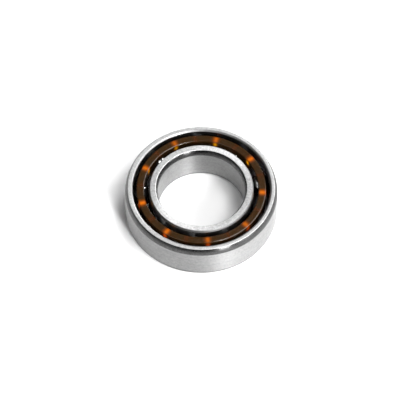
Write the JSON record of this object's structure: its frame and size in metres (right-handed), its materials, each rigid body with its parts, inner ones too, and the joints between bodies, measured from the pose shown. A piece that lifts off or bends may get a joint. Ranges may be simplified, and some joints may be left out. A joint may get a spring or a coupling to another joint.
{
  "type": "ball bearing",
  "caption": "Open deep-groove ball bearing: two ground steel rings, steel balls and a one-piece amber polymer crown cage.",
  "frame": {"origin": "centre of the bore at mid width", "axes": "+Z along the bearing's axis, out of the face that shows the cage's closed side"},
  "size_m": [0.0254, 0.0254, 0.0066],
  "materials": {
    "ring_steel": "finely ground, satin",
    "ball_steel": "lapped, mirror bright",
    "cage_polymer": "moulded translucent amber, glossy"
  },
  "bodies": {
    "outer_ring": {"outer_ring": "ring_steel"},
    "inner_ring": {"inner_ring": "ring_steel"},
    "cage": {"cage": "cage_polymer"},
    "ball_1": {"ball_1": "ball_steel"},
    "ball_2": {"ball_2": "ball_steel"},
    "ball_3": {"ball_3": "ball_steel"},
    "ball_4": {"ball_4": "ball_steel"},
    "ball_5": {"ball_5": "ball_steel"},
    "ball_6": {"ball_6": "ball_steel"},
    "ball_7": {"ball_7": "ball_steel"},
    "ball_8": {"ball_8": "ball_steel"},
    "ball_9": {"ball_9": "ball_steel"}
  },
  "joints": [
    {"name": "inner_ring_spin", "type": "hinge", "parent": "outer_ring", "child": "inner_ring", "pos_m": [0, 0, 0], "axis": [0, 0, 1], "continuous": true},
    {"name": "cage_spin", "type": "hinge", "parent": "outer_ring", "child": "cage", "pos_m": [0, 0, 0], "axis": [0, 0, 1], "continuous": true},
    {"name": "ball_1_spin", "type": "hinge", "parent": "cage", "child": "ball_1", "pos_m": [0.00968, 0.00278, 0], "axis": [0, 0, 1], "continuous": true},
    {"name": "ball_2_spin", "type": "hinge", "parent": "cage", "child": "ball_2", "pos_m": [0.00563, 0.00835, 0], "axis": [0, 0, 1], "continuous": true},
    {"name": "ball_3_spin", "type": "hinge", "parent": "cage", "child": "ball_3", "pos_m": [-0.00105, 0.01001, 0], "axis": [0, 0, 1], "continuous": true},
    {"name": "ball_4_spin", "type": "hinge", "parent": "cage", "child": "ball_4", "pos_m": [-0.00724, 0.007, 0], "axis": [0, 0, 1], "continuous": true},
    {"name": "ball_5_spin", "type": "hinge", "parent": "cage", "child": "ball_5", "pos_m": [-0.01005, 0.0007, 0], "axis": [0, 0, 1], "continuous": true},
    {"name": "ball_6_spin", "type": "hinge", "parent": "cage", "child": "ball_6", "pos_m": [-0.00815, -0.00592, 0], "axis": [0, 0, 1], "continuous": true},
    {"name": "ball_7_spin", "type": "hinge", "parent": "cage", "child": "ball_7", "pos_m": [-0.00244, -0.00977, 0], "axis": [0, 0, 1], "continuous": true},
    {"name": "ball_8_spin", "type": "hinge", "parent": "cage", "child": "ball_8", "pos_m": [0.00441, -0.00905, 0], "axis": [0, 0, 1], "continuous": true},
    {"name": "ball_9_spin", "type": "hinge", "parent": "cage", "child": "ball_9", "pos_m": [0.0092, -0.0041, 0], "axis": [0, 0, 1], "continuous": true}
  ],
  "couplings": [
    {"joint": "cage_spin", "follows": "inner_ring_spin", "ratio": 0.41132},
    {"joint": "ball_1_spin", "follows": "inner_ring_spin", "ratio": -2.7305},
    {"joint": "ball_2_spin", "follows": "inner_ring_spin", "ratio": -2.7305},
    {"joint": "ball_3_spin", "follows": "inner_ring_spin", "ratio": -2.7305},
    {"joint": "ball_4_spin", "follows": "inner_ring_spin", "ratio": -2.7305},
    {"joint": "ball_5_spin", "follows": "inner_ring_spin", "ratio": -2.7305},
    {"joint": "ball_6_spin", "follows": "inner_ring_spin", "ratio": -2.7305},
    {"joint": "ball_7_spin", "follows": "inner_ring_spin", "ratio": -2.7305},
    {"joint": "ball_8_spin", "follows": "inner_ring_spin", "ratio": -2.7305},
    {"joint": "ball_9_spin", "follows": "inner_ring_spin", "ratio": -2.7305}
  ]
}
